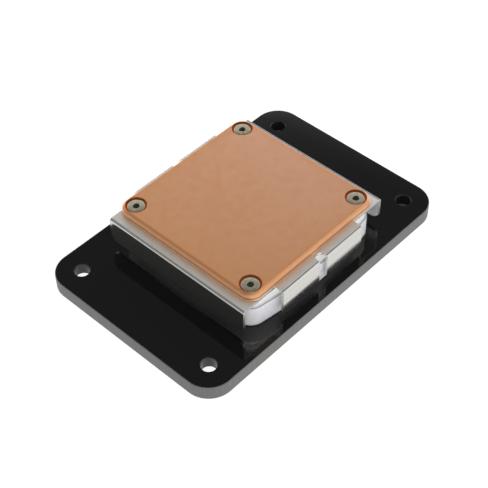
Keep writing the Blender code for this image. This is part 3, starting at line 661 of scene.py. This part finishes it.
def mountingPlate():
    s = plateSettings
    low, high = plateLow[2], plateHigh[2]
    edge = roundedOutline(plateHigh[0], plateHigh[1], s["corner"], 20)
    c = s["chamfer"]
    patches = [wall(edge, [(-c, low), (0, low + c), (0, high - c)], 1),
               wall(edge, [(0, high - c), (-0.4 * c, high - 0.25 * c), (-c, high)], 1)]
    topHoles, bottomHoles = [], []
    top, lead = s["holeTop"], s["holeLead"]
    for signX, signY in cornerSigns:
        x, y = signX * (plateHigh[0] - s["holeEdge"]), signY * (plateHigh[1] - s["holeEdge"])
        drill(circleOutline(x, y, s["hole"] / 2), [(top, high), (0, high - top), (0, low + lead), (lead, low)],
              patches, topHoles, bottomHoles, 2)
    for x, y in portPlaces:
        port = circleOutline(x, y, portThread["radius"] + portThread["rest"] * portThread["depth"])
        height = np.linspace(high, low + s["leadIn"], s["threadRows"])
        patches.append(threadPatch(x, y, height, portThread, 1, 2))
        patches.append(wall(port, [(0, low + s["leadIn"]), (s["leadIn"], low)], 2))
        topHoles.append(grown(port))
        bottomHoles.append(grown(port, s["leadIn"]))
    # a countersink as wide as the screw's head, set in below the face
    cone = s["screwHead"] / 2 + s["screwRecess"] + seatGap * np.sqrt(2) - screwHole
    for x, y in plateScrewPlaces:
        drill(circleOutline(x, y, screwHole, 48), [(0, high), (0, low + cone), (cone, low)], patches, topHoles,
              bottomHoles, 2)
    patches.append(flat([grown(edge, -c)] + topHoles, high))
    patches.append(flat([grown(edge, -c)] + bottomHoles, low, False))
    buildPiece("mountingPlateFinish", patches, ["gloss", "sawn", "drilled"], "mounting_plate")


bodySettings = {
    "bow": 2.6 * mm, "corner": 5 * mm, "rimStep": 0.4 * mm, "rimDrop": 0.5 * mm, "baseHeight": 7.85 * mm,
    "shelfRise": 2.2 * mm, "shelfMargin": 2.55 * mm, "edge": 0.15 * mm,
    "bossHalf": 23.5 * mm, "bossCorner": 8.5 * mm, "chamberHalf": 19 * mm, "chamberCorner": 4 * mm,
    "chamberFloor": 11.7 * mm, "sealLand": 1.3 * mm,
    "grooveWidth": 2.4 * mm, "grooveDepth": 2.1 * mm, "portBore": 9 * mm, "sealCord": 1.8 * mm,
    "sealRadius": 8.3 * mm, "insertWall": 0.5 * mm, "insertLength": 4.4 * mm, "insertLip": 0.35 * mm,
    "lipHeight": 0.8 * mm, "tapDepth": 3.8 * mm,
}


def clearBody():
    s = bodySettings
    low, high = bodyLow[2], bodyHigh[2]
    width = bodyHigh[0] - bodyLow[0]
    baseTop = low + s["baseHeight"]
    rimBottom = baseTop - s["rimDrop"]
    shelfTop = baseTop + s["shelfRise"]
    shelfHalf = screwReach + s["shelfMargin"]
    e = s["edge"]
    base = bowedOutline(width, s["bow"], s["corner"])
    shelf = roundedOutline(shelfHalf, shelfHalf, s["shelfMargin"])
    boss = roundedOutline(s["bossHalf"], s["bossHalf"], s["bossCorner"])
    step = -s["rimStep"]
    patches = [
        wall(base, [(-e, low), (-0.3 * e, low + 0.3 * e), (0, low + e), (0, rimBottom - e),
                    (-0.3 * e, rimBottom - 0.3 * e), (-e, rimBottom), (step + 0.5 * e, rimBottom),
                    (step, rimBottom + 0.5 * e), (step, baseTop - e), (step - 0.3 * e, baseTop - 0.3 * e),
                    (step - e, baseTop)]),
        flat([grown(base, step - e), grown(shelf)], baseTop),
        wall(shelf, [(0, baseTop), (0, shelfTop - e), (-0.3 * e, shelfTop - 0.3 * e), (-e, shelfTop)]),
        wall(boss, [(0, shelfTop), (0, high)]),
    ]
    chamber = roundedOutline(s["chamberHalf"], s["chamberHalf"], s["chamberCorner"])
    grooveIn, grooveOut = s["sealLand"], s["sealLand"] + s["grooveWidth"]
    grooveFloor = high - s["grooveDepth"]
    patches += [
        flat([grown(boss), grown(chamber, grooveOut)], high),
        wall(chamber, [(grooveOut, high), (grooveOut, grooveFloor), (grooveIn, grooveFloor), (grooveIn, high),
                       (0, high), (0, s["chamberFloor"])]),
    ]
    ports, portRims = [], []
    reach = s["sealCord"] / 2 + seatGap
    portGroove = low + s["sealCord"] + seatGap
    for x, y in portPlaces:
        bore = circleOutline(x, y, s["portBore"] / 2)
        ring = circleOutline(x, y, s["sealRadius"])
        patches.append(wall(bore, [(0, s["chamberFloor"]), (0, low)]))
        patches.append(wall(ring, [(-reach, low), (-reach, portGroove), (reach, portGroove), (reach, low)]))
        patches.append(flat([grown(ring, -reach), grown(bore)], low, False))
        ports.append(grown(bore))
        portRims.append(grown(ring, reach))
    patches.append(flat([grown(chamber)] + ports, s["chamberFloor"]))
    pocket = s["insertWall"] + seatGap
    recess = pocket + s["insertLip"]
    pocketTop = low + s["insertLength"] + seatGap
    recessTop = low + s["lipHeight"] + seatGap
    shelfHoles, bottomHoles = [], []
    for x, y in screwPlaces:
        hole = circleOutline(x, y, screwHole, 48)
        drill(hole, [(0, shelfTop), (0, pocketTop), (pocket, pocketTop), (pocket, recessTop),
                     (recess, recessTop), (recess, low)], patches, shelfHoles, bottomHoles)
    for x, y in plateScrewPlaces:
        tap = circleOutline(x, y, screwHole, 48)
        top = low + s["tapDepth"]
        patches.append(wall(tap, [(0, top), (0, low)]))
        patches.append(flat([grown(tap)], top, False))
        bottomHoles.append(grown(tap))
    patches.append(flat([grown(shelf, -e), grown(boss)] + shelfHoles, shelfTop))
    patches.append(flat([grown(base, -e)] + portRims + bottomHoles, low, False))
    buildPiece("clearBodyFinish", patches, ["body"], "clear_body")


traySettings = {
    "sheet": 0.8 * mm, "bend": 1.0 * mm, "wallSetback": 3.4 * mm, "flapSpan": 35.8 * mm, "footCorner": 2.6 * mm,
    "reliefWidth": 3.4 * mm, "reliefReach": 1.8 * mm, "bendSteps": 10, "cornerSteps": 12, "support": 0.12 * mm,
    "cutEdge": 0.07 * mm, "cutEdgeAngle": np.radians(50), "foldLineSpare": 5 * mm,
}


def foldedAxis(distance, flatReach, bend):
    # past the flat, a point goes round the bend by its distance over the radius, then straight down
    beyond = np.maximum(np.abs(distance) - flatReach, 0)
    angle = np.minimum(beyond / bend, np.pi / 2)
    straight = np.maximum(beyond - bend * np.pi / 2, 0)
    reach = np.minimum(np.abs(distance), flatReach) + bend * np.sin(angle)
    return np.sign(distance) * reach, bend * (1 - np.cos(angle)) + straight


def trayBlank(flatReach, blank):
    # the flat blank's outline, and the window and screw holes cut in it; blank is its half length
    s = traySettings
    end, span, foot = trayHigh[0] - s["wallSetback"], s["flapSpan"] / 2, s["footCorner"]
    slot = s["reliefWidth"] / 2
    slotEnd = flatReach - s["reliefReach"] + slot
    turn = np.linspace(0, np.pi / 2, s["cornerSteps"])
    footArc = np.stack([blank - foot + foot * np.cos(turn), end - foot + foot * np.sin(turn)], -1)
    slotArc = np.stack([slot * np.cos(turn), slotEnd - slot * np.sin(turn)], -1)
    quarter = np.concatenate([footArc, [[span, end], [span, blank], [slot, blank]], slotArc])
    halfRun = np.concatenate([quarter, quarter[-2::-1] * [-1, 1]])
    opening = bodySettings["bossHalf"] + seatGap
    window = roundedOutline(opening, opening, bodySettings["bossCorner"] + seatGap)[0]
    return [np.concatenate([halfRun, -halfRun]), window] + [circleOutline(x, y, screwHole, 48)[0]
                                                            for x, y in screwPlaces]


def steelTray():
    # the blank is divided along lines across each bend, then folded; the sheet's thickness goes inwards
    s = traySettings
    bend, top = s["bend"], trayHigh[2]
    flatReach = trayHigh[0] - bend
    arc = bend * np.pi / 2
    blank = flatReach + arc + (top - trayLow[2] - bend)
    stations = flatReach + np.concatenate([[-s["support"]], np.linspace(0, arc, s["bendSteps"] + 1),
                                           [arc + s["support"]]])
    far = blank + s["foldLineSpare"]
    foldLines = []
    for at in np.concatenate([stations, -stations]):
        foldLines += [np.array([[at, -far], [at, far]]), np.array([[-far, at], [far, at]])]
    points, faces = filled(trayBlank(flatReach, blank), foldLines)
    used, faces = np.unique(faces, return_inverse=True)
    points = points[used]
    x, dropX = foldedAxis(points[:, 0], flatReach, bend)
    y, dropY = foldedAxis(points[:, 1], flatReach, bend)
    mesh = bpy.data.meshes.new("steelTrayFinish")
    mesh.from_pydata(np.column_stack([x, y, top - dropX - dropY]).tolist(), [], faces.reshape(-1, 3).tolist())
    corner = np.empty(len(mesh.loops), np.int32)
    mesh.loops.foreach_get("vertex_index", corner)
    mesh.uv_layers.new(name="blank").data.foreach_set("uv", points[corner].ravel())
    mesh.materials.append(materials["tray"])
    mesh.materials.append(materials["cut"])
    mesh.shade_smooth()
    tray = addObject("steelTrayFinish", mesh)
    thick = tray.modifiers.new("sheet", "SOLIDIFY")
    thick.thickness = s["sheet"]
    thick.offset = -1
    thick.material_offset_rim = 1
    broken = tray.modifiers.new("deburred edges", "BEVEL")
    broken.width = s["cutEdge"]
    broken.segments = 2
    broken.limit_method = "ANGLE"
    broken.angle_limit = s["cutEdgeAngle"]
    keepFlat(tray, False)
    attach(tray, "root")
    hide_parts("steel_tray")
    print("steelTrayFinish made,", len(mesh.polygons), "faces before its thickness")


copperSettings = {
    "corner": 4.25 * mm, "edgeRound": 0.78 * mm, "roundSteps": 9, "edgePower": 1.8, "thickness": 2.9 * mm,
    "counterbore": 6.8 * mm, "boreEdge": 0.04 * mm, "floorRise": 0.75 * mm, "finField": 30 * mm,
    "finPitch": 0.8 * mm, "finThickness": 0.4 * mm, "support": 0.02 * mm,
}


def finField(low, bottom, settings):
    # a comb: its outline in Y and height, carried along X, and an end cap on each fin
    half = settings["finField"] / 2
    count = int(settings["finField"] / settings["finPitch"])
    middle = (np.arange(count) - (count - 1) / 2) * settings["finPitch"]
    side = settings["finThickness"] / 2
    tooth = np.array([[-side, low], [-side, bottom], [side, bottom], [side, low]])
    comb = (tooth[None] + np.stack([middle, np.zeros(count)], -1)[:, None]).reshape(-1, 2)
    ends = [np.column_stack([np.full(len(comb), x), comb]) for x in (half, -half)]
    quads = np.arange(len(comb)).reshape(-1, 4)
    foot = ends[0][np.isclose(comb[:, 1], low), :2]
    boundary = np.concatenate([foot, foot[::-1] * [-1, 1]])
    return [gridPatch(np.stack(ends), False), (ends[0], quads, 0), (ends[1], quads[:, ::-1], 0)], boundary


def coldPlate():
    s = copperSettings
    high = copperHigh[2]
    low = high - s["thickness"]
    half = copperHigh[0]
    edge = roundedOutline(half, half, s["corner"], 18)
    r = s["edgeRound"]
    turn = np.linspace(0, np.pi / 2, s["roundSteps"])
    # a quarter round whose cosine and sine are raised to a power: 1 is a full round, and 2 a straight chamfer
    power = s["edgePower"]
    rolled = [(r * (np.cos(a) ** power - 1), high - r + r * np.sin(a) ** power) for a in turn]
    rolled[-1] = (-r, high)
    e = s["boreEdge"]
    inner = -r - s["support"]
    patches = [wall(edge, [(-e, low), (0, low + e), (0, high - r - s["support"]), *rolled, (inner, high)])]
    floor, bore = low + s["floorRise"], s["counterbore"] / 2 - screwHole
    topHoles, bottomHoles = [], []
    for x, y in screwPlaces:
        drill(circleOutline(x, y, screwHole),
              [(bore + e, high), (bore + 0.3 * e, high - 0.3 * e), (bore, high - e), (bore, floor), (e, floor),
               (0, floor - e), (0, low)], patches, topHoles, bottomHoles, 1)
    fins, boundary = finField(low, copperLow[2], s)
    patches += fins
    patches.append(flat([grown(edge, inner)] + topHoles, high))
    patches.append(flat([grown(edge, -e), boundary] + bottomHoles, low, False))
    buildPiece("coldPlateFinish", patches, ["copper", "bore"], "cold_plate")


screwSettings = {
    "head": 5.7 * mm, "headHeight": 1.5 * mm, "chamfer": 0.35 * mm, "shank": 3 * mm, "socket": 2 * mm,
    "socketCorner": 0.12 * mm, "socketDepth": 0.9 * mm, "socketEdge": 0.1 * mm, "coneDrop": 0.35 * mm,
    "coneSteps": 6, "tipChamfer": 0.45 * mm, "threadRows": 90, "steps": 72,
}
shankThread = {
    "radius": 1.5 * mm, "depth": -0.22 * mm, "rest": 0, "pitch": 0.5 * mm, "fade": 0.4 * mm, "steps": 72,
}


def socketCone(outline, x, y, height):
    # the drilled cone under a socket: the outline run in to a point
    s = screwSettings
    share = np.linspace(1, 0, s["coneSteps"])
    middle = np.array([x, y])
    flatGrid = middle + (outline[0] - middle) * share[:, None, None]
    depth = height - s["coneDrop"] * (1 - share)
    high = np.broadcast_to(depth[:, None, None], (len(share), len(outline[0]), 1))
    return gridPatch(np.concatenate([flatGrid, high], -1), True, 1)


def coldPlateScrew(x, y, name):
    s = screwSettings
    top, tip = headHigh[2], headLow[2]
    under = top - s["headHeight"]
    radius, shank, c = s["head"] / 2, s["shank"] / 2, s["chamfer"]
    head = circleOutline(x, y, radius, s["steps"])
    body = circleOutline(x, y, shank, s["steps"])
    socket = hexOutline(x, y, s["socket"], s["socketCorner"])
    e, tipChamfer = s["socketEdge"], s["tipChamfer"]
    turn = np.linspace(0, np.pi / 2, 5)
    rim = [(-c + c * np.cos(a), top - c + c * np.sin(a)) for a in turn]
    patches = [
        wall(head, [(shank - radius, under), (0, under), *rim]),
        flat([grown(head, -c), grown(socket, e)], top),
        wall(socket, [(e, top), (0, top - e)]),
        wall(socket, [(0, top - e), (0, top - s["socketDepth"])], 1),
        threadPatch(x, y, np.linspace(tip + tipChamfer, under, s["threadRows"]), shankThread, -1),
        wall(body, [(-tipChamfer, tip), (0, tip + tipChamfer)]),
        flat([grown(body, -tipChamfer)], tip, False),
        socketCone(socket, x, y, top - s["socketDepth"]),
    ]
    buildPiece("coldPlateScrewFinish_" + name, patches, ["screw", "socket"], "cold_plate_screw_" + name)


def plateScrew(x, y, name):
    s = plateSettings
    low, top = plateScrewLow[2], plateScrewHigh[2]
    radius, shank, c = s["screwHead"] / 2, screwSettings["shank"] / 2, screwSettings["tipChamfer"]
    socket = hexOutline(x, y, s["screwSocket"], screwSettings["socketCorner"])
    body = circleOutline(x, y, shank, 60)
    cone, e, floor = radius - shank, s["screwEdge"], low + s["screwSocketDepth"]
    patches = [
        wall(body, [(cone - e, low), (cone, low + e), (0, low + cone + e), (0, top - c), (-c, top)]),
        flat([grown(body, -c)], top),
        flat([grown(body, cone - e), grown(socket, e)], low, False),
        wall(socket, [(0, floor), (0, low + e), (e, low)]),
        flat([grown(socket)], floor, False),
    ]
    buildPiece("plateScrewFinish_" + name, patches, ["screw"], "plate_screw_" + name)


def dressHiddenNodes():
    wear = {"main_seal": "rubber", "inlet_port_seal": "rubber", "outlet_port_seal": "rubber",
            "flow_insert": "plastic", "jet_plate": "sheet"}
    wear.update({"threaded_insert_" + name: "brass" for name in cornerNames})
    for node, key in wear.items():
        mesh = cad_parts[node].data
        mesh.materials.clear()
        mesh.materials.append(materials[key])
    print("inner nodes dressed:", len(wear))


materials = {
    "gloss": glossBlack(), "sawn": sawnBlack(), "drilled": drilledBlack(),
    "copper": lappedCopper(copperHigh[0], copperHigh[2], copperSettings["corner"]),
    "bore": patchyMaterial("boredCopper", Emission_Color=tint(copperLook["boreGlow"]), Emission_Strength=1.0),
    "tray": brushedSteel("brushedTraySteel", (trayHigh[2], copperHigh[0], copperSettings["corner"])),
    "sheet": brushedSteel("brushedSheetSteel"),
    "screw": patchyMaterial("turnedSteel"), "body": milkyAcrylic(), "rubber": patchyMaterial("mouldedRubber"),
    "plastic": patchyMaterial("mouldedBlackPlastic"), "brass": patchyMaterial("turnedBrass"),
    "cut": patchyMaterial("cutSteelEdge"), "socket": patchyMaterial("shadedSocketSteel"),
}
print("materials made:", len(materials))

mountingPlate()
clearBody()
steelTray()
coldPlate()
for place, name in zip(screwPlaces, cornerNames):
    coldPlateScrew(*place, name)
for place, name in zip(plateScrewPlaces, cornerNames):
    plateScrew(*place, name)
dressHiddenNodes()

stageSettings = {
    "floorHalf": 6.0, "floorDrop": 0.05 * mm, "floorColor": (0.22, 0.22, 0.22), "floorRoughness": 0.9,
    "floorGlow": 0.95, "skyLevel": 1.0,
    # the floor under the two holes at the right lies in shade
    "shadeRadius": 3.9 * mm, "shadeGlow": (0.03, 0.03, 0.03),
    # each: the middle of a soft patch of sky, the cosines where it starts and is full, what it adds
    "softPatches": [((0.62, 0.52, 0.45), 0.45, 0.93, 0.95), ((-0.93, 0.25, 0.25), 0.45, 0.95, -0.6),
                    ((0.30, -0.90, 0.30), 0.6, 0.95, 0.1)],
    # the dark studio ceiling, which the polished faces mirror
    "darkMiddle": (0.10, 0.05, 1.0), "darkStart": 0.55, "darkFull": 0.77, "darkLevel": 0.08,
}


def paleFloor():
    s = stageSettings
    half, height = s["floorHalf"], -s["floorDrop"]
    mesh = bpy.data.meshes.new("paleFloor")
    mesh.from_pydata([(x * half, y * half, height) for x, y in cornerSigns], [], [(0, 1, 2, 3)])
    floor = addObject("paleFloor", mesh)
    white = (1, 1, 1, 1)
    material, tree, shader = newMaterial("paleFloor", s["floorColor"], s["floorRoughness"],
                                         Specular_IOR_Level=0.1, Emission_Color=white,
                                         Emission_Strength=s["floorGlow"])
    apart = axesOf(tree, placeOf(tree))
    holeX, holeY = (plateHigh[axis] - plateSettings["holeEdge"] for axis in (0, 1))
    besideX = mathNode(tree, "SUBTRACT", apart["X"], holeX)
    besideY = mathNode(tree, "SUBTRACT", mathNode(tree, "ABSOLUTE", apart["Y"]), holeY)
    shade = mathNode(tree, "LESS_THAN", distanceNode(tree, besideX, besideY), s["shadeRadius"])
    setInputs(tree, shader, {"Emission Color": mixColor(tree, shade, white, tint(s["shadeGlow"]))})
    # seen from below, the floor is clear
    clear = tree.nodes.new("ShaderNodeBsdfTransparent")
    side = tree.nodes.new("ShaderNodeNewGeometry").outputs["Backfacing"]
    both = addNode(tree, "MixShader", {0: side, 1: shader.outputs["BSDF"], 2: clear.outputs["BSDF"]})
    setInputs(tree, tree.nodes["Material Output"], {"Surface": both.outputs["Shader"]})
    mesh.materials.append(material)


def skyPatch(tree, direction, middle, start, full, low, high):
    # from low to high as the cosine between the direction and the patch's middle goes from start to full
    unit = np.array(middle) / np.linalg.norm(middle)
    facing = addNode(tree, "VectorMath", {0: direction, 1: tuple(unit)}, operation="DOT_PRODUCT")
    return addNode(tree, "MapRange", {"Value": facing.outputs["Value"], "From Min": start,
                                                "From Max": full, "To Min": low, "To Max": high},
                   interpolation_type="SMOOTHSTEP").outputs["Result"]


def studioSky():
    s = stageSettings
    world = bpy.data.worlds.new("studio")
    bpy.context.scene.world = world
    world.use_nodes = True
    tree = world.node_tree
    direction = tree.nodes.new("ShaderNodeTexCoord").outputs["Generated"]
    level = s["skyLevel"]
    for middle, start, full, added in s["softPatches"]:
        level = mathNode(tree, "ADD", level, skyPatch(tree, direction, middle, start, full, 0.0, added))
    ceiling = skyPatch(tree, direction, s["darkMiddle"], s["darkStart"], s["darkFull"], 1.0, s["darkLevel"])
    setInputs(tree, tree.nodes["Background"], {"Strength": mathNode(tree, "MULTIPLY", level, ceiling),
                                               "Color": (1, 1, 1, 1)})


cameraSettings = {
    "place": (-0.19056, -0.18122, 0.27926), "turn": (43.358, 0.785, -47.074), "lens": 89.19, "sensor": 36,
    "nearest": 0.01,
}


def photoCamera():
    data = bpy.data.cameras.new("photoView")
    data.sensor_width = cameraSettings["sensor"]
    data.lens = cameraSettings["lens"]
    data.clip_start = cameraSettings["nearest"]
    camera = addObject("photoView", data)
    camera.location = cameraSettings["place"]
    camera.rotation_euler = np.radians(cameraSettings["turn"])
    bpy.context.scene.camera = camera


paleFloor()
studioSky()
photoCamera()
bpy.context.scene.view_settings.view_transform = "Standard"
print("stage, light and camera ready")
